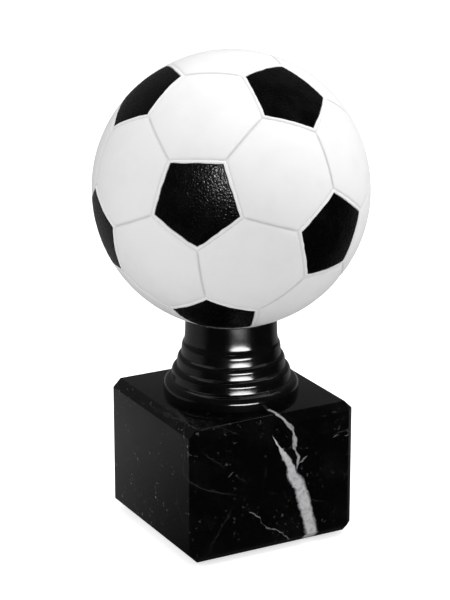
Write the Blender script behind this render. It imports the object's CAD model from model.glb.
import math

import bmesh
import bpy
import numpy as np
from mathutils import Matrix, Vector, noise


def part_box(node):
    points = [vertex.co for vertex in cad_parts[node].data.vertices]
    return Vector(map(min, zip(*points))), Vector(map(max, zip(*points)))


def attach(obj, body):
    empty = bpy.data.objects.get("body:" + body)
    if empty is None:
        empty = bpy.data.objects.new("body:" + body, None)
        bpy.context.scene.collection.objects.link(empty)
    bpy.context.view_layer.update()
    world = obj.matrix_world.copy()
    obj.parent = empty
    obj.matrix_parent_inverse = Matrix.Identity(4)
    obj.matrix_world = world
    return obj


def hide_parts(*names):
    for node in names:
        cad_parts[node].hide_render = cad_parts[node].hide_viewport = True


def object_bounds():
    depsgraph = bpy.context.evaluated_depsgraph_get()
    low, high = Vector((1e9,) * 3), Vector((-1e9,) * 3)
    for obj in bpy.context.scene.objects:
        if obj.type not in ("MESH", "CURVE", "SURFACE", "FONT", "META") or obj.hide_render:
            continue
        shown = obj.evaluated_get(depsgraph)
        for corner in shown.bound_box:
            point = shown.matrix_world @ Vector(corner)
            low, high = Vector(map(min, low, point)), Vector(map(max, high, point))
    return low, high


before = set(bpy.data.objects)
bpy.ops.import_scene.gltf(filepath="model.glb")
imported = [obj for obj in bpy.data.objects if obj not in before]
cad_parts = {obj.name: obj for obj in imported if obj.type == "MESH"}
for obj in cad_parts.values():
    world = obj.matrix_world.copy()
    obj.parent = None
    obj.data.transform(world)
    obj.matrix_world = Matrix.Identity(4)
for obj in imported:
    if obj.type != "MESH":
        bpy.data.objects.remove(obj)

cadLow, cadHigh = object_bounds()
mm = 0.001  # pieces are modelled in millimetres and brought to metres at the end


# ---- modelling helpers

def selectOnly(piece):
    bpy.ops.object.select_all(action="DESELECT")
    piece.select_set(True)
    bpy.context.view_layer.objects.active = piece


def pick(piece, test, kind="FACE"):
    # enters edit mode with only the parts that pass the test selected
    selectOnly(piece)
    bpy.ops.object.mode_set(mode="EDIT")
    bpy.ops.mesh.select_mode(type=kind)
    bpy.ops.mesh.select_all(action="DESELECT")
    mesh = bmesh.from_edit_mesh(piece.data)
    for part in {"FACE": mesh.faces, "EDGE": mesh.edges, "VERT": mesh.verts}[kind]:
        part.select_set(test(part))
    bmesh.update_edit_mesh(piece.data)


def leaveEdit():
    bpy.ops.object.mode_set(mode="OBJECT")


def countVerts(piece):
    return len(bmesh.from_edit_mesh(piece.data).verts)


def copyPiece(piece, name):
    made = piece.copy()
    made.data = piece.data.copy()
    made.name = made.data.name = name
    bpy.context.scene.collection.objects.link(made)
    return made


def discard(piece):
    bpy.data.objects.remove(piece)


def readPoints(piece):
    points = np.zeros(len(piece.data.vertices) * 3)
    piece.data.vertices.foreach_get("co", points)
    return points.reshape(-1, 3)


def writePoints(piece, points):
    piece.data.vertices.foreach_set("co", np.asarray(points, float).ravel())
    piece.data.update()


def applyModifier(piece, kind, **settings):
    selectOnly(piece)
    made = piece.modifiers.new(kind.lower(), kind)
    for key, value in settings.items():
        setattr(made, key, value)
    bpy.ops.object.modifier_apply(modifier=made.name)


def cut(piece, tool, operation="DIFFERENCE", solver="EXACT"):
    applyModifier(piece, "BOOLEAN", object=tool, operation=operation, solver=solver)
    discard(tool)


def fixNormals(piece):
    pick(piece, lambda part: True, "VERT")
    bpy.ops.mesh.remove_doubles(threshold=0.0005)
    bpy.ops.mesh.normals_make_consistent(inside=False)
    leaveEdit()


def lathe(name, outline, steps=96, angle=360.0, closed=True):
    # outline is a list of (radius, height), closed into a loop and spun about Z
    bpy.ops.object.select_all(action="DESELECT")
    bpy.ops.mesh.primitive_plane_add(size=1)
    piece = bpy.context.active_object
    piece.name = piece.data.name = name
    bpy.ops.object.mode_set(mode="EDIT")
    bpy.ops.mesh.select_mode(type="VERT")
    bpy.ops.mesh.select_all(action="SELECT")
    bpy.ops.mesh.merge(type="CENTER")
    bpy.ops.transform.translate(value=(outline[0][0], 0, outline[0][1]))
    for before, after in zip(outline, outline[1:]):
        step = (after[0] - before[0], 0, after[1] - before[1])
        bpy.ops.mesh.extrude_vertices_move(TRANSFORM_OT_translate={"value": step})
    bpy.ops.mesh.select_all(action="SELECT")
    if closed and angle < 360:
        bpy.ops.mesh.edge_face_add()
    elif closed:
        mesh = bmesh.from_edit_mesh(piece.data)
        ends = [vert for vert in mesh.verts if len(vert.link_edges) == 1]
        bpy.ops.mesh.select_all(action="DESELECT")
        for vert in ends:
            vert.select_set(True)
        bmesh.update_edit_mesh(piece.data)
        bpy.ops.mesh.edge_face_add()
        bpy.ops.mesh.select_all(action="SELECT")
    bpy.ops.mesh.spin(steps=steps, angle=math.radians(angle), center=(0, 0, 0), axis=(0, 0, 1))
    leaveEdit()
    fixNormals(piece)
    return piece


def arc(centre, radii, start, end, count):
    points = []
    for n in range(count + 1):
        turn = math.radians(start + (end - start) * n / count)
        points.append((centre[0] + radii[0] * math.cos(turn), centre[1] + radii[1] * math.sin(turn)))
    return points


def finishPiece(piece, material, nodes, sharpAngle=40, inMillimetres=True):
    selectOnly(piece)
    if inMillimetres:
        piece.scale = (mm, mm, mm)
        bpy.ops.object.transform_apply(location=True, rotation=True, scale=True)
    bpy.ops.object.shade_smooth_by_angle(angle=math.radians(sharpAngle))
    piece.data.materials.clear()
    piece.data.materials.append(material)
    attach(piece, "root")
    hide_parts(*nodes)
    return piece


def boxOf(node):
    low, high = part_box(node)
    return low / mm, high / mm


# ---- shader helpers

def newMaterial(name):
    material = bpy.data.materials.new(name)
    material.use_nodes = True
    tree = material.node_tree
    shader = tree.nodes["Principled BSDF"]
    coords = tree.nodes.new("ShaderNodeTexCoord")
    return material, tree, shader, coords.outputs["Object"]


def feed(tree, socket, value):
    if isinstance(value, bpy.types.NodeSocket):
        tree.links.new(value, socket)
    elif value is not None:
        socket.default_value = value


def calc(tree, operation, first, second=None, third=None, clamp=False):
    made = tree.nodes.new("ShaderNodeMath")
    made.operation = operation
    made.use_clamp = clamp
    for socket, value in zip(made.inputs, (first, second, third)):
        feed(tree, socket, value)
    return made.outputs[0]


def ramp(tree, value, low, high, toLow=0.0, toHigh=1.0):
    made = tree.nodes.new("ShaderNodeMapRange")
    made.interpolation_type = "SMOOTHSTEP"
    for name, given in (("Value", value), ("From Min", low), ("From Max", high), ("To Min", toLow), ("To Max", toHigh)):
        feed(tree, made.inputs[name], given)
    return made.outputs[0]


def blendColour(tree, factor, first, second):
    made = tree.nodes.new("ShaderNodeMix")
    made.data_type = "RGBA"
    for socket, value in ((made.inputs[0], factor), (made.inputs[6], first), (made.inputs[7], second)):
        feed(tree, socket, value)
    return made.outputs[2]


def noiseOf(tree, vector, scale, detail=3.0, roughness=0.5):
    made = tree.nodes.new("ShaderNodeTexNoise")
    for name, value in (("Vector", vector), ("Scale", scale), ("Detail", detail), ("Roughness", roughness)):
        feed(tree, made.inputs[name], value)
    return made


def bumpOf(tree, height, strength, distance):
    made = tree.nodes.new("ShaderNodeBump")
    made.inputs["Strength"].default_value = strength
    made.inputs["Distance"].default_value = distance
    feed(tree, made.inputs["Height"], height)
    return made.outputs["Normal"]


def placeGroup(tree, group, **values):
    made = tree.nodes.new("ShaderNodeGroup")
    made.node_tree = group
    for name, value in values.items():
        feed(tree, made.inputs[name], value)
    return made


def startGroup(name, inputs, outputs):
    group = bpy.data.node_groups.new(name, "ShaderNodeTree")
    for socket, kind, default in inputs:
        made = group.interface.new_socket(socket, in_out="INPUT", socket_type=kind)
        if default is not None:
            made.default_value = default
    for socket in outputs:
        group.interface.new_socket(socket, in_out="OUTPUT", socket_type="NodeSocketFloat")
    return group, group.nodes.new("NodeGroupInput").outputs, group.nodes.new("NodeGroupOutput").inputs


# Soft smudges and settled dust, for every polished surface
handling, given, put = startGroup(
    "handling",
    [("Vector", "NodeSocketVector", None), ("Smudge Size", "NodeSocketFloat", 60.0), ("Speck Size", "NodeSocketFloat", 900.0)],
    ["Smudge", "Specks"],
)
patches = noiseOf(handling, given["Vector"], given["Smudge Size"], 4.0, 0.6)
dots = noiseOf(handling, given["Vector"], given["Speck Size"], 1.0, 0.4)
feed(handling, put["Smudge"], ramp(handling, patches.outputs[0], 0.42, 0.68))
feed(handling, put["Specks"], ramp(handling, dots.outputs[0], 0.70, 0.78))

# Fine surface texture of moulded, cast or woven stuff
fineGrain, given, put = startGroup(
    "fineGrain",
    [("Vector", "NodeSocketVector", None), ("Size", "NodeSocketFloat", 500.0), ("Coarse", "NodeSocketFloat", 0.3)],
    ["Height"],
)
small = noiseOf(fineGrain, given["Vector"], given["Size"], 4.0, 0.6)
large = noiseOf(fineGrain, given["Vector"], calc(fineGrain, "MULTIPLY", given["Size"], 0.2), 2.0, 0.5)
part = calc(fineGrain, "MULTIPLY", large.outputs[0], given["Coarse"])
feed(fineGrain, put["Height"], calc(fineGrain, "ADD", small.outputs[0], part))


# ---- materials

whiteLook = dict(colour=(0.86, 0.86, 0.857, 1), seam=(0.58, 0.58, 0.59, 1), roughness=0.44, coat=0.08)

def makeWhite():
    material, tree, shader, coords = newMaterial("whiteGloss")
    seam = tree.nodes.new("ShaderNodeAttribute")
    seam.attribute_name = "seamDepth"
    marks = placeGroup(tree, handling, Vector=coords)
    grain = placeGroup(tree, fineGrain, Vector=coords, Size=420.0)
    warm = blendColour(tree, marks.outputs["Smudge"], whiteLook["colour"], (0.83, 0.83, 0.825, 1))
    seamMask = calc(tree, "MULTIPLY", seam.outputs["Fac"], 0.65)
    feed(tree, shader.inputs["Base Color"], blendColour(tree, seamMask, warm, whiteLook["seam"]))
    feed(tree, shader.inputs["Roughness"], ramp(tree, marks.outputs["Smudge"], 0, 1, whiteLook["roughness"], whiteLook["roughness"] + 0.08))
    shader.inputs["Coat Weight"].default_value = whiteLook["coat"]
    shader.inputs["Coat Roughness"].default_value = 0.15
    feed(tree, shader.inputs["Normal"], bumpOf(tree, grain.outputs["Height"], 0.06, 0.0003))
    return material


grainLook = dict(colour=(0.0012, 0.0012, 0.0013, 1), high=(0.0035, 0.0034, 0.0034, 1), roughness=0.22, specular=0.28)

def makeBlackGrain():
    material, tree, shader, coords = newMaterial("blackGrain")
    pebble = tree.nodes.new("ShaderNodeTexVoronoi")
    pebble.feature = "DISTANCE_TO_EDGE"
    feed(tree, pebble.inputs["Vector"], coords)
    pebble.inputs["Scale"].default_value = 1300.0
    marks = placeGroup(tree, handling, Vector=coords, **{"Smudge Size": 140.0})
    grain = placeGroup(tree, fineGrain, Vector=coords, Size=2200.0)
    feed(tree, shader.inputs["Base Color"], blendColour(tree, marks.outputs["Smudge"], grainLook["colour"], grainLook["high"]))
    feed(tree, shader.inputs["Roughness"], ramp(tree, grain.outputs["Height"], 0.3, 0.9, grainLook["roughness"] - 0.08, grainLook["roughness"] + 0.12))
    shader.inputs["Specular IOR Level"].default_value = grainLook["specular"]
    height = calc(tree, "ADD", ramp(tree, pebble.outputs["Distance"], 0, 0.25), calc(tree, "MULTIPLY", grain.outputs["Height"], 0.3))
    feed(tree, shader.inputs["Normal"], bumpOf(tree, height, 0.35, 0.00006))
    return material


glossLook = dict(colour=(0.0025, 0.0025, 0.0027, 1), roughness=0.14, coat=0.3)

def makeBlackGloss():
    material, tree, shader, coords = newMaterial("blackGloss")
    marks = placeGroup(tree, handling, Vector=coords, **{"Smudge Size": 110.0})
    grain = placeGroup(tree, fineGrain, Vector=coords, Size=350.0)
    feed(tree, shader.inputs["Base Color"], blendColour(tree, marks.outputs["Specks"], glossLook["colour"], (0.012, 0.012, 0.012, 1)))
    feed(tree, shader.inputs["Roughness"], ramp(tree, marks.outputs["Smudge"], 0, 1, glossLook["roughness"], glossLook["roughness"] + 0.07))
    shader.inputs["Coat Weight"].default_value = glossLook["coat"]
    shader.inputs["Coat Roughness"].default_value = 0.11
    feed(tree, shader.inputs["Normal"], bumpOf(tree, grain.outputs["Height"], 0.08, 0.0002))
    return material


metalLook = dict(
    zinc=dict(colour=(0.62, 0.64, 0.66, 1), tint=(0.70, 0.66, 0.55, 1), roughness=0.32),
    springSteel=dict(colour=(0.30, 0.31, 0.33, 1), tint=(0.24, 0.22, 0.20, 1), roughness=0.38),
)

def makeMetal(name):
    look = metalLook[name]
    material, tree, shader, coords = newMaterial(name)
    marks = placeGroup(tree, handling, Vector=coords, **{"Smudge Size": 220.0})
    grain = placeGroup(tree, fineGrain, Vector=coords, Size=900.0, Coarse=0.6)
    feed(tree, shader.inputs["Base Color"], blendColour(tree, marks.outputs["Smudge"], look["colour"], look["tint"]))
    feed(tree, shader.inputs["Roughness"], ramp(tree, grain.outputs["Height"], 0.4, 1.0, look["roughness"] - 0.08, look["roughness"] + 0.1))
    shader.inputs["Metallic"].default_value = 1.0
    feed(tree, shader.inputs["Normal"], bumpOf(tree, grain.outputs["Height"], 0.15, 0.0001))
    return material


def makeFelt():
    material, tree, shader, coords = newMaterial("felt")
    grain = placeGroup(tree, fineGrain, Vector=coords, Size=1600.0, Coarse=0.8)
    marks = placeGroup(tree, handling, Vector=coords, **{"Smudge Size": 300.0})
    feed(tree, shader.inputs["Base Color"], blendColour(tree, marks.outputs["Smudge"], (0.016, 0.017, 0.020, 1), (0.030, 0.031, 0.035, 1)))
    shader.inputs["Roughness"].default_value = 0.95
    shader.inputs["Sheen Weight"].default_value = 0.4
    feed(tree, shader.inputs["Normal"], bumpOf(tree, grain.outputs["Height"], 0.8, 0.0004))
    return material


# Each vein is a centre line and a half width, in mm, along Z ("up") or along X ("across"),
# as seen on the front face. ends is where it fades out.
marbleVeins = [
    dict(along="up", strength=0.88, line=[(46, -2.8), (44, -1.5), (42, 0), (37.5, 2.4), (34, 4.6), (31, 6.1), (28, 6.7), (26, 7.9), (22, 10), (17, 11.7), (10, 13.4), (1, 15.6)],
         width=[(45.5, 0.0), (43.5, 0.12), (42, 0.4), (39.5, 0.35), (37.5, 1.1), (34, 1.7), (31, 1.4), (28, 2.4), (26, 3.0), (22, 2.4), (17, 2.7), (10, 2.4), (1, 2.9)]),
    dict(along="up", strength=0.58, line=[(51, 2), (48, 4.6), (46, 5.9), (42, 7.6), (38, 7.4), (34, 9.2), (30, 8.6)],
         width=[(51, 0.4), (48, 0.8), (46, 1.0), (44, 0.25), (42, 0.75), (39, 0.9), (36.5, 0.15), (34, 0.6), (31, 0.35), (29, 0.0)]),
    dict(along="across", strength=0.26, line=[(-12, 18), (-10, 17), (-6.3, 14.5), (-5.8, 12.5), (-3, 9.5), (0.5, 8.6), (3.7, 6), (7, 2)],
         width=[(-11, 0.0), (-10, 0.25), (-7, 0.3), (-5, 0.08), (-2, 0.28), (3, 0.2), (6, 0.35), (8, 0.0)]),
    dict(along="across", strength=0.30, line=[(7.5, 30.5), (12.5, 34)], width=[(7.5, 0.0), (8.5, 0.32), (12, 0.28), (12.8, 0.0)]),
    dict(along="across", strength=0.16, line=[(-20, 31.4), (-16, 34), (0, 34), (22, 38.6), (25.3, 39.6), (27.4, 38.7), (31, 39.2)],
         width=[(-19.5, 0.0), (-18, 0.3), (-16.2, 0.0), (22.5, 0.0), (24, 0.35), (26, 0.0), (27.2, 0.0), (29, 0.3), (31.5, 0.0)]),
]
stoneLook = dict(ground=(0.0012, 0.0012, 0.0014, 1), cloud=(0.0035, 0.0035, 0.004, 1), vein=(0.55, 0.55, 0.56, 1), roughness=0.07)

def curveOf(tree, value, points, low, high, toLow, toHigh):
    made = tree.nodes.new("ShaderNodeFloatCurve")
    curve = made.mapping.curves[0]
    points = sorted(points)
    spots = [((a - low) / (high - low), (b - toLow) / (toHigh - toLow)) for a, b in points]
    curve.points[0].location, curve.points[1].location = spots[0], spots[-1]
    for spot in spots[1:-1]:
        curve.points.new(*spot)
    for point in curve.points:
        point.handle_type = "VECTOR"
    made.mapping.extend = "HORIZONTAL"
    made.mapping.update()
    feed(tree, made.inputs["Value"], calc(tree, "DIVIDE", calc(tree, "SUBTRACT", value, low), high - low, clamp=True))
    return calc(tree, "ADD", calc(tree, "MULTIPLY", made.outputs[0], toHigh - toLow), toLow)


def makeMarble(low, high):
    material, tree, shader, coords = newMaterial("marble")
    toMm = tree.nodes.new("ShaderNodeVectorMath")
    toMm.operation = "SCALE"
    toMm.inputs["Scale"].default_value = 1000.0
    feed(tree, toMm.inputs[0], coords)
    ragged = noiseOf(tree, coords, 280.0, 5.0, 0.72)
    shift = tree.nodes.new("ShaderNodeVectorMath")
    shift.operation = "MULTIPLY_ADD"
    feed(tree, shift.inputs[0], ragged.outputs["Color"])
    shift.inputs[1].default_value = (2.8, 2.8, 2.8)
    feed(tree, shift.inputs[2], toMm.outputs[0])
    split = tree.nodes.new("ShaderNodeSeparateXYZ")
    feed(tree, split.inputs[0], shift.outputs[0])
    deep = calc(tree, "SUBTRACT", calc(tree, "SUBTRACT", split.outputs["Y"], 1.4), low.y)  # depth behind the front face
    across = calc(tree, "ADD", calc(tree, "SUBTRACT", split.outputs["X"], 1.4), calc(tree, "MULTIPLY", deep, 0.35))
    up = calc(tree, "SUBTRACT", calc(tree, "SUBTRACT", split.outputs["Z"], 1.4), calc(tree, "MULTIPLY", deep, 0.25))
    mottle = noiseOf(tree, coords, 700.0, 3.0, 0.7)
    fade = ramp(tree, deep, 4.0, 26.0, 1.0, 0.0)
    total = None
    for vein in marbleVeins:
        along, side = (up, across) if vein["along"] == "up" else (across, up)
        alongRange = (0, 52) if vein["along"] == "up" else (-33, 33)
        sideRange = (-33, 33) if vein["along"] == "up" else (0, 52)
        centre = curveOf(tree, along, vein["line"], *alongRange, *sideRange)
        half = calc(tree, "MAXIMUM", curveOf(tree, along, vein["width"], *alongRange, 0, 4), 0.015)
        away = calc(tree, "ABSOLUTE", calc(tree, "SUBTRACT", side, centre))
        mask = ramp(tree, calc(tree, "DIVIDE", away, half), 0.55, 1.15, 1.0, 0.0)
        mask = calc(tree, "MULTIPLY", mask, ramp(tree, half, 0.04, 0.16))
        mask = calc(tree, "MULTIPLY", calc(tree, "MULTIPLY", mask, fade), vein["strength"])
        mask = calc(tree, "MULTIPLY", mask, ramp(tree, mottle.outputs[0], 0.25, 0.6, 0.62, 1.1))
        total = mask if total is None else calc(tree, "MAXIMUM", total, mask)
    hair = tree.nodes.new("ShaderNodeTexVoronoi")
    hair.feature = "DISTANCE_TO_EDGE"
    hair.inputs["Scale"].default_value = 0.045
    feed(tree, hair.inputs["Vector"], shift.outputs[0])
    patchy = noiseOf(tree, coords, 55.0, 2.0, 0.5)
    faint = calc(tree, "MULTIPLY", ramp(tree, hair.outputs["Distance"], 0.0, 0.018, 0.03, 0.0), ramp(tree, patchy.outputs[0], 0.50, 0.66))
    total = calc(tree, "MAXIMUM", total, faint)
    crumbs = noiseOf(tree, coords, 640.0, 2.0, 0.6)  # small pale grains that lie in drifts
    drift = noiseOf(tree, coords, 75.0, 3.0, 0.6)
    grains = calc(tree, "MULTIPLY", ramp(tree, crumbs.outputs[0], 0.62, 0.74, 0.0, 0.30), ramp(tree, drift.outputs[0], 0.44, 0.62))
    grains = calc(tree, "MULTIPLY", grains, ramp(tree, split.outputs["X"], low.x + 2, low.x + 6, 1.0, 0.3))  # most lie by the left face
    total = calc(tree, "MAXIMUM", total, grains)
    cloud = noiseOf(tree, coords, 90.0, 6.0, 0.65)
    ground = blendColour(tree, ramp(tree, cloud.outputs[0], 0.45, 0.72), stoneLook["ground"], stoneLook["cloud"])
    feed(tree, shader.inputs["Base Color"], blendColour(tree, total, ground, stoneLook["vein"]))
    marks = placeGroup(tree, handling, Vector=coords, **{"Smudge Size": 70.0})
    feed(tree, shader.inputs["Roughness"], ramp(tree, marks.outputs["Smudge"], 0, 1, stoneLook["roughness"], stoneLook["roughness"] + 0.08))
    grain = placeGroup(tree, fineGrain, Vector=coords, Size=160.0)
    feed(tree, shader.inputs["Normal"], bumpOf(tree, grain.outputs["Height"], 0.04, 0.0002))
    return material


# ---- marble block and felt pad

blockPlan = dict(chamfer=3.0, edge=0.15, recess=26.0, recessDepth=14.0, bore=8.0)

def makeBlock():
    low, high = boxOf("marble_base")
    bpy.ops.object.select_all(action="DESELECT")
    bpy.ops.mesh.primitive_cube_add(size=1, location=(low + high) / 2)
    piece = bpy.context.active_object
    piece.name = piece.data.name = "marbleBlock"
    piece.scale = high - low
    bpy.ops.object.transform_apply(location=True, rotation=True, scale=True)
    pick(piece, lambda edge: True, "EDGE")
    bpy.ops.mesh.bevel(offset=blockPlan["chamfer"], segments=1)
    bpy.ops.mesh.select_all(action="SELECT")
    bpy.ops.mesh.bevel(offset=blockPlan["edge"], segments=3)
    leaveEdit()
    over = 1.0
    recess = lathe("recessTool", [(0.001, low.z - over), (blockPlan["recess"] / 2, low.z - over),
                                  (blockPlan["recess"] / 2, low.z + blockPlan["recessDepth"]),
                                  (0.001, low.z + blockPlan["recessDepth"])], 64)
    cut(piece, recess)
    bore = lathe("boreTool", [(0.001, low.z - over), (blockPlan["bore"] / 2, low.z - over),
                              (blockPlan["bore"] / 2, high.z + over), (0.001, high.z + over)], 48)
    cut(piece, bore)
    return finishPiece(piece, makeMarble(low, high), ["marble_base"], 20)


padPlan = dict(cornerRadius=2.0, fuzz=0.06)

def makePad():
    low, high = boxOf("base_pad")
    bpy.ops.object.select_all(action="DESELECT")
    bpy.ops.mesh.primitive_cube_add(size=1, location=(low + high) / 2)
    piece = bpy.context.active_object
    piece.name = piece.data.name = "feltPad"
    piece.scale = high - low
    bpy.ops.object.transform_apply(location=True, rotation=True, scale=True)
    pick(piece, lambda edge: abs(edge.verts[0].co.z - edge.verts[1].co.z) > 0.5, "EDGE")
    bpy.ops.mesh.bevel(offset=padPlan["cornerRadius"], segments=6)
    bpy.ops.mesh.select_all(action="SELECT")
    leaveEdit()
    applyModifier(piece, "REMESH", mode="VOXEL", voxel_size=0.45)
    points = readPoints(piece)
    middle = (low.z + high.z) / 2
    for n, point in enumerate(points):
        fuzz = noise.noise(Vector(point) * 1.7) * padPlan["fuzz"]
        inward = Vector((point[0], point[1], 0)).normalized()
        points[n] += np.array(inward) * (fuzz - padPlan["fuzz"])
        points[n][2] = middle + (point[2] - middle) * 0.97 + abs(fuzz) * (1 if point[2] < middle else -1)
    points[:, 2] = np.clip(points[:, 2], low.z, high.z)
    writePoints(piece, points)
    return finishPiece(piece, makeFelt(), ["base_pad"], 60)


# ---- riser

riserPlan = dict(
    radii=(24.2, 21.4, 19.4, 17.8, 16.7), neckTop=16.2, tops=(5.4, 9.9, 14.2, 18.85),
    drafts=(0.0, 0.22, 0.21, 0.2), wallShare=0.44,  # how far each wall leans in, and its share of the step's height
    corner=0.3, wall=2.0, cup=2.5, cupRim=0.4, bore=3.3, tube=5.8, ribs=4, ribThick=1.6, ribLift=1.0,
)

def stepOutline(inset, corner, base=0.0):
    # outside of the four steps from the foot up, moved in and down by the inset
    points = []
    plan = riserPlan
    bottoms = (base,) + tuple(top - inset for top in plan["tops"][:-1])
    for n in range(4):
        outer, inner = plan["radii"][n] - inset, plan["radii"][n + 1] - inset
        bottom, top = bottoms[n], plan["tops"][n] - inset
        wallTop = bottom + (top - bottom) * plan["wallShare"]
        draft = plan["drafts"][n]
        points.append((outer, bottom + (corner * 0.6 if n else 0)))
        points += [(outer - draft * share, bottom + (wallTop - bottom) * share) for share in (0.35, 0.7)]
        round = arc((inner, wallTop), (outer - draft - inner, top - wallTop), 0, 90, 16)
        points += [(x, z) for x, z in round if x >= inner + corner * 0.9]
    return points


def makeRiser(material):
    plan = riserPlan
    low, high = boxOf("riser")
    ballLow, ballHigh = ballBox()
    height = high.z - low.z
    ballR = (ballHigh.x - ballLow.x) / 2
    centre = ballHigh.z - ballR - low.z  # centre of the ball above the riser's foot
    seat = ballR + 0.05
    neckIn = plan["neckTop"] - plan["cupRim"]
    outline = stepOutline(0, plan["corner"])
    outline += [(plan["radii"][4], plan["tops"][3] + 0.3), (plan["radii"][4] - 0.13, plan["tops"][3] + 1.2),
                (plan["radii"][4] - 0.27, plan["tops"][3] + 2.3), (plan["radii"][4] - 0.34, plan["tops"][3] + 4.0),
                (plan["neckTop"], height - 0.12), (plan["neckTop"] - 0.12, height)]
    startTurn = -math.degrees(math.acos(neckIn / seat))
    endTurn = -math.degrees(math.acos(plan["bore"] / seat))
    outline += arc((0, centre), (seat, seat), startTurn, endTurn, 14)
    outline += [(plan["bore"], 0.0), (plan["tube"], 0.0)]
    under = seat + plan["cup"]
    outline += arc((0, centre), (under, under), -math.degrees(math.acos(plan["tube"] / under)),
                   -math.degrees(math.acos((plan["neckTop"] - plan["wall"]) / under)), 8)
    inside = stepOutline(plan["wall"], 0.0)
    outline += [(plan["radii"][4] - plan["wall"], plan["tops"][3] - plan["wall"])] + inside[::-1][1:]
    cleaned = [outline[0]]
    for point in outline[1:]:
        if math.dist(point, cleaned[-1]) > 0.02:
            cleaned.append(point)
    cleaned = [(x, z + low.z) for x, z in cleaned]
    piece = lathe("riserBody", cleaned, 160)
    wallMiddle = stepOutline(plan["wall"] / 2, 0.0)
    top = centre - math.sqrt(under ** 2 - 14.0 ** 2) + 0.6
    for n in range(plan["ribs"]):
        edge = [(plan["tube"] - 0.4, plan["ribLift"])] + [p for p in wallMiddle if plan["ribLift"] < p[1]]
        edge = [(plan["tube"] - 0.4, plan["ribLift"]), (wallMiddle[0][0], plan["ribLift"])] + edge[1:]
        edge += [(14.9, top), (plan["tube"] - 0.4, centre - math.sqrt(under ** 2 - plan["tube"] ** 2) + 0.6)]
        rib = plate("ribTool", [(x, z + low.z) for x, z in edge], plan["ribThick"], 45 + 90 * n)
        cut(piece, rib, "UNION")
    return finishPiece(piece, material, ["riser"], 35)


def plate(name, outline, thick, turn):
    # flat plate standing on the XZ plane, turned about Z
    bpy.ops.object.select_all(action="DESELECT")
    bpy.ops.mesh.primitive_plane_add(size=1)
    piece = bpy.context.active_object
    piece.name = name
    bpy.ops.object.mode_set(mode="EDIT")
    bpy.ops.mesh.select_mode(type="VERT")
    bpy.ops.mesh.merge(type="CENTER")
    bpy.ops.transform.translate(value=(outline[0][0], -thick / 2, outline[0][1]))
    for before, after in zip(outline, outline[1:]):
        bpy.ops.mesh.extrude_vertices_move(TRANSFORM_OT_translate={"value": (after[0] - before[0], 0, after[1] - before[1])})
    bpy.ops.mesh.select_all(action="SELECT")
    bpy.ops.mesh.edge_face_add()
    bpy.ops.mesh.extrude_region_move(TRANSFORM_OT_translate={"value": (0, thick, 0)})
    leaveEdit()
    piece.rotation_euler.z = math.radians(turn)
    bpy.ops.object.transform_apply(location=True, rotation=True, scale=True)
    fixNormals(piece)
    return piece


# ---- ball

ballPlan = dict(
    wall=3.6, edgeCuts=13,
    # distance from the panel's edge and depth below the ball's surface
    hexRings=[(0.12, 0.50), (0.24, 0.42), (0.38, 0.29), (0.58, 0.20), (0.95, 0.14), (1.6, 0.10), (2.4, 0.085),
              (3.6, 0.06), (5.2, 0.04), (7.2, 0.02), (9.4, 0.008), (11.6, 0.002), (13.8, 0.0), (15.6, 0.0)],
    pentRings=[(0.10, 0.36), (0.20, 0.24), (0.34, 0.14), (0.55, 0.08), (0.85, 0.06), (1.05, 0.09), (1.18, 0.18),
               (1.22, 1.05), (2.5, 1.05), (4.5, 1.05), (7.0, 1.05), (9.5, 1.05), (12.0, 1.05)],
    innerRings=(2.5, 5.5, 9.0, 12.5),
    bossRadius=9.0, bossHeight=10.0, bore=3.3, nutAcross=10.0, socketGap=0.1,
)
inlayPlan = dict(
    gap=1.30, cuts=72, underRings=(0.85, 0.6, 0.3), lowest=1.0, top=0.06, edgeRound=0.4,
    pebble=1.05, pebbleHeight=0.09, plateau=2.8,  # mm
)
wanderPlan = dict(size=3.4, amount=0.34, fineSize=1.2, fineAmount=0.12)


def ballBox():
    boxes = [boxOf(name) for name in ("ball_lower_shell", "ball_upper_shell")]
    low = Vector([min(b[0][k] for b in boxes) for k in range(3)])
    high = Vector([max(b[1][k] for b in boxes) for k in range(3)])
    return low, high


def ballCentre():
    low, high = ballBox()
    return Vector(((low.x + high.x) / 2, (low.y + high.y) / 2, high.z - (high.x - low.x) / 2)), (high.x - low.x) / 2


def inlayDirections(centre):
    directions = []
    for n in range(1, 13):
        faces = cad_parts[f"pentagon_inlay_{n:02d}"].data.polygons
        area = sum(face.area for face in faces)
        middle = sum((face.center * face.area for face in faces), Vector()) / area / mm
        directions.append((middle - centre).normalized())
    return directions


def frameOf(first, second):
    side = (second - first * second.dot(first)).normalized()
    return Matrix((first, side, first.cross(side))).transposed()


def panelCage(directions, radius):
    # twelve pentagons and twenty hexagons, turned to the inlays of the frame
    bpy.ops.object.select_all(action="DESELECT")
    bpy.ops.mesh.primitive_ico_sphere_add(subdivisions=1, radius=radius * 1.15139)
    piece = bpy.context.active_object
    corners = [vert.co.normalized() for vert in piece.data.vertices]
    nearest = sorted(range(1, 12), key=lambda n: -corners[0].dot(corners[n]))
    target = sorted(range(1, 12), key=lambda n: -directions[0].dot(directions[n]))
    turn = frameOf(directions[0], directions[target[0]]) @ frameOf(corners[0], corners[nearest[0]]).inverted()
    piece.matrix_world = turn.to_4x4()
    bpy.ops.object.transform_apply(location=True, rotation=True, scale=True)
    pick(piece, lambda vert: True, "VERT")
    bpy.ops.mesh.bevel(offset_type="PERCENT", offset_pct=100 / 3, affect="VERTICES", segments=1)
    leaveEdit()
    return piece


def wander(direction, radius):
    # small irregularity of the cut outline of a pentagon, in mm
    place = direction * radius
    rough = noise.noise(place / wanderPlan["size"]) * wanderPlan["amount"]
    return rough + noise.noise(place / wanderPlan["fineSize"]) * wanderPlan["fineAmount"]


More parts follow.
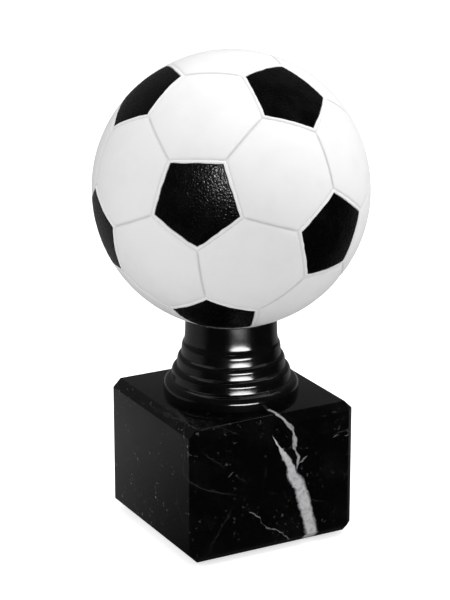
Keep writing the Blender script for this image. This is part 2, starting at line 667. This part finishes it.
def flatMiddles(points):
    # centre of the flat panel that each point lies on
    reach = points @ np.array([m[0] for m in panelMiddles]).T / np.array([m[1] for m in panelMiddles])
    return np.array([m[0] * m[1] for m in panelMiddles])[reach.argmax(axis=1)]


def ringPanels(piece, corners, cuts, distances):
    # one thin inset for each ring, then every ring is scaled to its distance from the panel's edge
    start = 0.02
    sideLength = (panelCorners[0] - panelCorners[1]).length
    apothem = sideLength / 2 / math.tan(math.pi / corners)
    starts = []
    pick(piece, lambda face: len(face.verts) == corners * (cuts + 1), "FACE")
    for distance in distances:
        starts.append(countVerts(piece))
        bpy.ops.mesh.inset(thickness=start, depth=0, use_individual=True, use_even_offset=True)
    starts.append(countVerts(piece))
    bpy.ops.mesh.poke()
    leaveEdit()
    points = readPoints(piece)
    for k, distance in enumerate(distances):
        ring = points[starts[k]:starts[k + 1]]
        middles = flatMiddles(ring)
        grow = (1 - distance / apothem) / (1 - start * (k + 1) / apothem)
        points[starts[k]:starts[k + 1]] = middles + (ring - middles) * grow
    writePoints(piece, points)
    return starts


def makeShells(cage, directions, centre, radius, material):
    plan = ballPlan
    pick(cage, lambda edge: True, "EDGE")
    bpy.ops.mesh.subdivide(number_cuts=plan["edgeCuts"])
    leaveEdit()
    inner = copyPiece(cage, "innerWall")
    axis = sum(directions[:6], Vector()).normalized()

    ringStarts = []
    for corners, rings in ((6, plan["hexRings"]), (5, plan["pentRings"])):
        starts = ringPanels(cage, corners, plan["edgeCuts"], [ring[0] for ring in rings])
        ringStarts += [(start, ring) for start, ring in zip(starts, rings)]
        if corners == 6:
            pentFirst = len(cage.data.vertices)
    points = readPoints(cage)
    points /= np.linalg.norm(points, axis=1)[:, None]
    depth = np.full(len(points), plan["hexRings"][0][1])
    distance = np.zeros(len(points))
    for start, (fromEdge, below) in ringStarts:
        depth[start:] = below
        distance[start:] = fromEdge
    pentRim = 1.0
    for n in range(pentFirst, len(points)):
        if distance[n] < pentRim:
            continue
        direction = Vector(points[n])
        middle = max(directions, key=lambda d: d.dot(direction))
        away = direction - middle * direction.dot(middle)
        if away.length > 0.05:
            points[n] = (direction + away.normalized() * wander(direction, radius) / radius).normalized()
    writePoints(cage, points * (radius - depth)[:, None])
    seam = cage.data.attributes.new("seamDepth", "FLOAT", "POINT")
    grey = np.clip((depth - plan["hexRings"][4][1]) / 0.3, 0, 1) * (distance < 1.0)
    grey[pentFirst:] *= 0.15
    reach = np.sort(points @ np.array([d for d in directions]).T, axis=1)[:, -1]
    besidePentagon = reach > math.cos(math.radians(20.95))  # angle from a pentagon's centre to its corners
    grey[besidePentagon] *= 0.3
    seam.data.foreach_set("value", grey)

    for corners in (6, 5):
        ringPanels(inner, corners, plan["edgeCuts"], plan["innerRings"])
    pick(inner, lambda face: True, "FACE")
    bpy.ops.mesh.flip_normals()
    leaveEdit()
    points = readPoints(inner)
    writePoints(inner, points / np.linalg.norm(points, axis=1)[:, None] * (radius - plan["wall"]))
    inner.data.attributes.new("seamDepth", "FLOAT", "POINT")

    middles = panelMiddles
    shells = {}
    for name, side in (("ballLower", -1), ("ballUpper", 1)):
        outerHalf, innerHalf = copyPiece(cage, name), copyPiece(inner, "half")
        for half in (outerHalf, innerHalf):
            pick(half, lambda face: panelSide(face.calc_center_median(), middles, axis) != side, "FACE")
            bpy.ops.mesh.delete(type="FACE")
            leaveEdit()
        selectOnly(outerHalf)
        innerHalf.select_set(True)
        bpy.ops.object.join()
        pick(outerHalf, lambda edge: edge.is_boundary, "EDGE")
        bpy.ops.mesh.bridge_edge_loops()
        leaveEdit()
        shells[name] = outerHalf
    discard(cage)
    discard(inner)

    for piece in shells.values():
        writePoints(piece, readPoints(piece) + np.array(centre))
        fixNormals(piece)
    addBoss(shells["ballLower"], centre, radius)
    finishPiece(shells["ballUpper"], material, ["ball_upper_shell"], 60)
    finishPiece(shells["ballLower"], material, ["ball_lower_shell"], 60)


def panelSide(place, middles, axis):
    direction = place.normalized()
    best = max(middles, key=lambda m: direction.dot(m[0]) / m[1])
    return 1 if best[0].dot(axis) > 0 else -1


def addBoss(piece, centre, radius):
    plan = ballPlan
    foot = centre.z - radius
    top = foot + plan["wall"] + plan["bossHeight"]
    boss = lathe("bossTool", [(0.001, foot + 1.6), (plan["bossRadius"] + 0.8, foot + 1.6 + 0.9), (plan["bossRadius"] + 0.8, foot + plan["wall"] + 1.0),
                              (plan["bossRadius"], foot + plan["wall"] + 2.4), (plan["bossRadius"], top - 0.5),
                              (plan["bossRadius"] - 0.5, top), (0.001, top)], 64)
    cut(piece, boss, "UNION", "MANIFOLD")
    bore = lathe("boreTool", [(0.001, foot - 1), (plan["bore"], foot - 1), (plan["bore"], top + 1), (0.001, top + 1)], 48)
    cut(piece, bore, "DIFFERENCE", "MANIFOLD")
    across = (plan["nutAcross"] / 2 + plan["socketGap"]) / math.cos(math.radians(30))
    nutLow = boxOf("ball_nut")[0].z
    socket = lathe("socketTool", [(0.001, nutLow), (across, nutLow), (across, top + 1), (0.001, top + 1)], 6)
    cut(piece, socket, "DIFFERENCE", "MANIFOLD")


def makeInlays(cage, directions, centre, radius, material):
    plan = inlayPlan
    template = copyPiece(cage, "inlayTemplate")
    middle = directions[0]
    pick(template, lambda face: face.calc_center_median().normalized().dot(middle) < 0.99, "FACE")
    bpy.ops.mesh.delete(type="FACE")
    bpy.ops.mesh.select_all(action="SELECT")
    bpy.ops.mesh.inset(thickness=plan["gap"], depth=0, use_even_offset=True)
    bpy.ops.mesh.select_all(action="INVERT")
    bpy.ops.mesh.delete(type="FACE")
    bpy.ops.mesh.select_all(action="SELECT")
    bpy.ops.mesh.poke()
    bpy.ops.mesh.subdivide(number_cuts=plan["cuts"])
    leaveEdit()
    topCount = len(template.data.vertices)
    flat = readPoints(template)
    edgeIndex = boundaryOf(template)
    outline = flat[edgeIndex]
    toEdge = np.array([np.min(np.linalg.norm(outline - p, axis=1)) for p in flat])
    pick(template, lambda edge: edge.is_boundary, "EDGE")
    bpy.ops.mesh.extrude_region_move(TRANSFORM_OT_translate={"value": (0, 0, 0)})
    bpy.ops.mesh.edge_face_add()
    ringAt = []
    for share in plan["underRings"]:
        ringAt.append(countVerts(template))
        bpy.ops.mesh.inset(thickness=0.01, depth=0, use_even_offset=True)
    ringAt.append(countVerts(template))
    bpy.ops.mesh.poke()
    leaveEdit()
    points = readPoints(template)
    flatMiddle = flat.mean(axis=0)
    for share, start, end in zip(plan["underRings"], ringAt, ringAt[1:]):
        points[start:end] = flatMiddle + (points[start:end] - flatMiddle) * share
    points /= np.linalg.norm(points, axis=1)[:, None]
    near = sorted(range(1, 12), key=lambda n: -middle.dot(directions[n]))[0]
    home = frameOf(middle, directions[near]).inverted()
    for n, direction in enumerate(directions):
        close = sorted((k for k in range(12) if k != n), key=lambda k: -direction.dot(directions[k]))[0]
        turn = np.array(frameOf(direction, directions[close]) @ home)
        turned = points @ turn.T
        piece = copyPiece(template, f"pentagonInlay{n + 1:02d}")
        reach = np.linalg.norm(turned - np.array(direction), axis=1)
        reach = reach / reach.max()
        shaped = np.zeros_like(turned)
        for k, place in enumerate(turned):
            spot = Vector(place)
            away = spot - direction * spot.dot(direction)
            moved = spot
            if away.length > 0.01:
                moved = (spot + away.normalized() * wander(spot, radius) / radius * reach[k] ** 3).normalized()
            below = plan["lowest"]
            if k < topCount:
                rolled = max(0.0, 1 - toEdge[k] / plan["edgeRound"])
                gaps, _ = noise.voronoi(spot * radius / plan["pebble"])
                grain = min(1.0, (gaps[1] - gaps[0]) * plan["plateau"])  # flat-topped pebbles
                below = plan["top"] + 0.28 * rolled ** 2 + plan["pebbleHeight"] * (1 - grain) * (1 - rolled)
            shaped[k] = np.array(moved) * (radius - below)
        writePoints(piece, shaped + np.array(centre))
        fixNormals(piece)
        finishPiece(piece, material, [f"pentagon_inlay_{n + 1:02d}"], 70)
    discard(template)


def boundaryOf(piece):
    counts = {}
    for face in piece.data.polygons:
        for key in face.edge_keys:
            counts[key] = counts.get(key, 0) + 1
    return sorted({vert for key, count in counts.items() if count == 1 for vert in key})


# ---- fastening

rodPlan = dict(pitch=1.0, threadDepth=0.55, chamfer=0.75)
nutPlan = dict(across=10.0, bore=3.05, chamfer=0.9)
washerPlan = dict(bore=3.3, edge=0.15)
springPlan = dict(bore=3.3, split=15.0, edge=0.12)


def makeRod(material):
    low, high = boxOf("tie_rod")
    radius = (high.x - low.x) / 2
    length = high.z - low.z
    outline = [(0.001, low.z), (radius, low.z), (radius, high.z), (0.001, high.z)]
    piece = lathe("threadedRod", outline, 32)
    tall = lambda edge: abs(edge.verts[0].co.z - edge.verts[1].co.z) > 0.5
    for cuts in (27, 24):
        pick(piece, lambda edge: tall(edge) or (cuts == 24 and abs(edge.verts[0].co.z - edge.verts[1].co.z) > 0.2), "EDGE")
        bpy.ops.mesh.subdivide(number_cuts=cuts)
        leaveEdit()
    points = readPoints(piece)
    for n, point in enumerate(points):
        away = math.hypot(point[0], point[1])
        if away < radius * 0.5:
            continue
        phase = (point[2] / rodPlan["pitch"] - math.atan2(point[1], point[0]) / (2 * math.pi)) % 1.0
        groove = rodPlan["threadDepth"] * (1 - abs(2 * phase - 1)) ** 0.9
        fromEnd = min(point[2] - low.z, high.z - point[2])
        limit = radius - max(0.0, rodPlan["chamfer"] - fromEnd)
        wanted = min(radius - groove, limit)
        points[n][:2] *= wanted / away
    writePoints(piece, points)
    return finishPiece(piece, material, ["tie_rod"], 30)


def makeNut(name, node, material):
    low, high = boxOf(node)
    corner = nutPlan["across"] / 2 / math.cos(math.radians(30))
    slope = nutPlan["chamfer"] * 0.5
    piece = lathe(name, [(nutPlan["bore"], low.z + 0.3), (nutPlan["bore"] + 0.3, low.z), (corner, low.z), (corner, high.z),
                         (nutPlan["bore"] + 0.3, high.z), (nutPlan["bore"], high.z - 0.3)], 6)
    discard(piece)
    piece = lathe(name, [(0.001, low.z), (corner, low.z), (corner, high.z), (0.001, high.z)], 6)
    flat = nutPlan["across"] / 2
    turned = lathe("nutTool", [(nutPlan["bore"], low.z + 0.3), (nutPlan["bore"] + 0.3, low.z), (flat - 0.1, low.z), (corner + 0.2, low.z + slope + 0.1),
                               (corner + 0.2, high.z - slope - 0.1), (flat - 0.1, high.z), (nutPlan["bore"] + 0.3, high.z), (nutPlan["bore"], high.z - 0.3)], 96)
    cut(piece, turned, "INTERSECT")
    return finishPiece(piece, material, [node], 25)


def ringOutline(inner, outer, low, high, edge):
    return [(inner + edge, low), (outer - edge, low), (outer, low + edge), (outer, high - edge),
            (outer - edge, high), (inner + edge, high), (inner, high - edge), (inner, low + edge)]


def makeWashers(zinc, spring):
    low, high = boxOf("flat_washer")
    piece = lathe("flatWasher", ringOutline(washerPlan["bore"], (high.x - low.x) / 2, low.z, high.z, washerPlan["edge"]), 96)
    finishPiece(piece, zinc, ["flat_washer"], 30)
    low, high = boxOf("spring_washer")
    outer = max(high.x, high.y, -low.x, -low.y)
    piece = lathe("springWasher", ringOutline(springPlan["bore"], outer, low.z, high.z, springPlan["edge"]), 72, 360 - springPlan["split"])
    finishPiece(piece, spring, ["spring_washer"], 30)


# ---- build

centre, radius = ballCentre()
directions = inlayDirections(centre)
white, blackGrain, blackGloss = makeWhite(), makeBlackGrain(), makeBlackGloss()
zinc, springSteel = makeMetal("zinc"), makeMetal("springSteel")

makePad()
makeBlock()
print("stage: block and pad")
makeRiser(blackGloss)
print("stage: riser")
makeRod(zinc)
makeNut("baseNut", "base_nut", zinc)
makeNut("ballNut", "ball_nut", zinc)
makeWashers(zinc, springSteel)
print("stage: fastening")
cage = panelCage(directions, radius)
panelCorners = [cage.data.vertices[n].co.copy() for n in cage.data.edges[0].vertices]
panelMiddles = []  # direction of each panel and how far its flat lies from the ball's centre
for face in cage.data.polygons:
    middle = face.center
    panelMiddles.append((middle.normalized(), middle.length))
makeInlays(cage, directions, centre, radius, blackGrain)
print("stage: inlays")
makeShells(cage, directions, centre, radius, white)
print("stage: shells")


# ---- floor, lights and camera

studio = dict(
    floor=(0.76, 0.76, 0.76, 1), floorSize=60.0, floorGap=0.0002, floorGlow=0.68,  # metres
    world=0.55, backdrop=1.0, glossFront=0.02, glossTable=0.22, glossSky=0.10,
)

def makeStage():
    bpy.ops.object.select_all(action="DESELECT")
    bpy.ops.mesh.primitive_plane_add(size=studio["floorSize"], location=(0, 0, cadLow.z - studio["floorGap"]))
    floor = bpy.context.active_object
    floor.name = "floor"
    material, tree, shader, coords = newMaterial("floorPaper")
    shader.inputs["Base Color"].default_value = studio["floor"]
    shader.inputs["Roughness"].default_value = 0.9
    shader.inputs["Emission Color"].default_value = (1, 1, 1, 1)
    path = tree.nodes.new("ShaderNodeLightPath")
    feed(tree, shader.inputs["Emission Strength"], calc(tree, "MULTIPLY", path.outputs["Is Camera Ray"], studio["floorGlow"]))
    # polished pieces see a darker table in front and a paler one behind, as with black card beside the camera
    dark = tree.nodes.new("ShaderNodeEmission")
    place = tree.nodes.new("ShaderNodeSeparateXYZ")
    feed(tree, place.inputs[0], coords)
    feed(tree, dark.inputs["Strength"], ramp(tree, place.outputs["Y"], -0.06, 0.12, studio["glossFront"] * 0.5, studio["glossTable"]))
    blend = tree.nodes.new("ShaderNodeMixShader")
    feed(tree, blend.inputs[0], path.outputs["Is Glossy Ray"])
    feed(tree, blend.inputs[1], shader.outputs[0])
    feed(tree, blend.inputs[2], dark.outputs[0])
    side = tree.nodes.new("ShaderNodeNewGeometry")
    clear = tree.nodes.new("ShaderNodeBsdfTransparent")
    through = tree.nodes.new("ShaderNodeMixShader")  # seen from below, the floor doesn't hide the pad
    feed(tree, through.inputs[0], side.outputs["Backfacing"])
    feed(tree, through.inputs[1], blend.outputs[0])
    feed(tree, through.inputs[2], clear.outputs[0])
    output = tree.nodes["Material Output"]
    feed(tree, output.inputs["Surface"], through.outputs[0])
    floor.data.materials.append(material)

    world = bpy.data.worlds.new("studio")
    world.use_nodes = True
    bpy.context.scene.world = world
    tree = world.node_tree
    background = tree.nodes["Background"]
    path = tree.nodes.new("ShaderNodeLightPath")
    background.inputs["Color"].default_value = (1, 1, 1, 1)
    place = tree.nodes.new("ShaderNodeTexCoord")
    split = tree.nodes.new("ShaderNodeSeparateXYZ")
    feed(tree, split.inputs[0], place.outputs["Generated"])
    gloss = ramp(tree, split.outputs["Y"], -0.1, 0.8, studio["glossFront"], studio["glossSky"])
    seen = ramp(tree, path.outputs["Is Glossy Ray"], 0, 1, studio["world"], gloss)
    backdrop = calc(tree, "MULTIPLY", path.outputs["Is Camera Ray"], studio["backdrop"])
    feed(tree, background.inputs["Strength"], calc(tree, "MAXIMUM", seen, backdrop))


# each light: where it stands, where it points, its size and its power
lightPlan = dict(
    overhead=dict(place=(0.42, -0.16, 0.68), size=(0.15, 0.15), power=2.2, shape="RECTANGLE", reach="diffuse"),
    glint=dict(place=(0.42, -0.16, 0.68), size=(0.15, 0.15), power=2.6, shape="RECTANGLE", reach="gloss", lit=("riserBody",)),
    topFill=dict(place=(0.05, 0.05, 0.90), size=(0.70, 0.70), power=2.1, shape="RECTANGLE", reach="diffuse"),
    leftFill=dict(place=(-0.70, -0.25, 0.55), size=(0.50, 0.50), power=2.1, shape="RECTANGLE", reach="diffuse"),
    rightFill=dict(place=(0.70, -0.45, 0.40), size=(0.50, 0.50), power=1.4, shape="RECTANGLE", reach="diffuse"),
    nearCamera=dict(place=(-0.30, -0.608, 0.485), size=(0.06, 0.06), power=3.4, shape="ELLIPSE", reach="gloss",
                    lit=tuple(f"pentagonInlay{n:02d}" for n in range(1, 13))),
    lowPanel=dict(place=(-0.03, -0.23, 0.047), size=(0.20, 0.036), power=0.40, shape="ELLIPSE", reach="gloss",
                  upright=True, lit=("riserBody",)),
)

def makeLights():
    aim = Vector((0, 0, 0.11))
    for name, plan in lightPlan.items():
        data = bpy.data.lights.new(name, "AREA")
        data.shape = plan["shape"]
        data.size, data.size_y = plan["size"]
        data.energy = plan["power"]
        lamp = bpy.data.objects.new(name, data)
        bpy.context.scene.collection.objects.link(lamp)
        lamp.location = plan["place"]
        target = Vector((0, 0, lamp.location.z)) if plan.get("upright") else aim
        lamp.rotation_euler = (target - lamp.location).to_track_quat("-Z", "Y").to_euler()
        lamp.visible_camera = False
        lamp.visible_diffuse = plan["reach"] != "gloss"
        lamp.visible_glossy = plan["reach"] != "diffuse"
        if "lit" in plan:  # masked off from everything else
            lit = bpy.data.collections.new(name + "Lit")
            for piece in plan["lit"]:
                lit.objects.link(bpy.data.objects[piece])
            lamp.light_linking.receiver_collection = lit


cameraPlan = dict(place=(-0.3613, -0.6601, 0.3286), tilt=71.99, turn=-28.53, lens=134.6)

def makeCamera():
    data = bpy.data.cameras.new("camera")
    data.sensor_width = 36
    data.lens = cameraPlan["lens"]
    camera = bpy.data.objects.new("camera", data)
    bpy.context.scene.collection.objects.link(camera)
    camera.location = cameraPlan["place"]
    camera.rotation_euler = (math.radians(cameraPlan["tilt"]), 0, math.radians(cameraPlan["turn"]))
    bpy.context.scene.camera = camera


makeStage()
makeLights()
makeCamera()
bpy.context.scene.view_settings.view_transform = "Standard"
print("stage: studio")
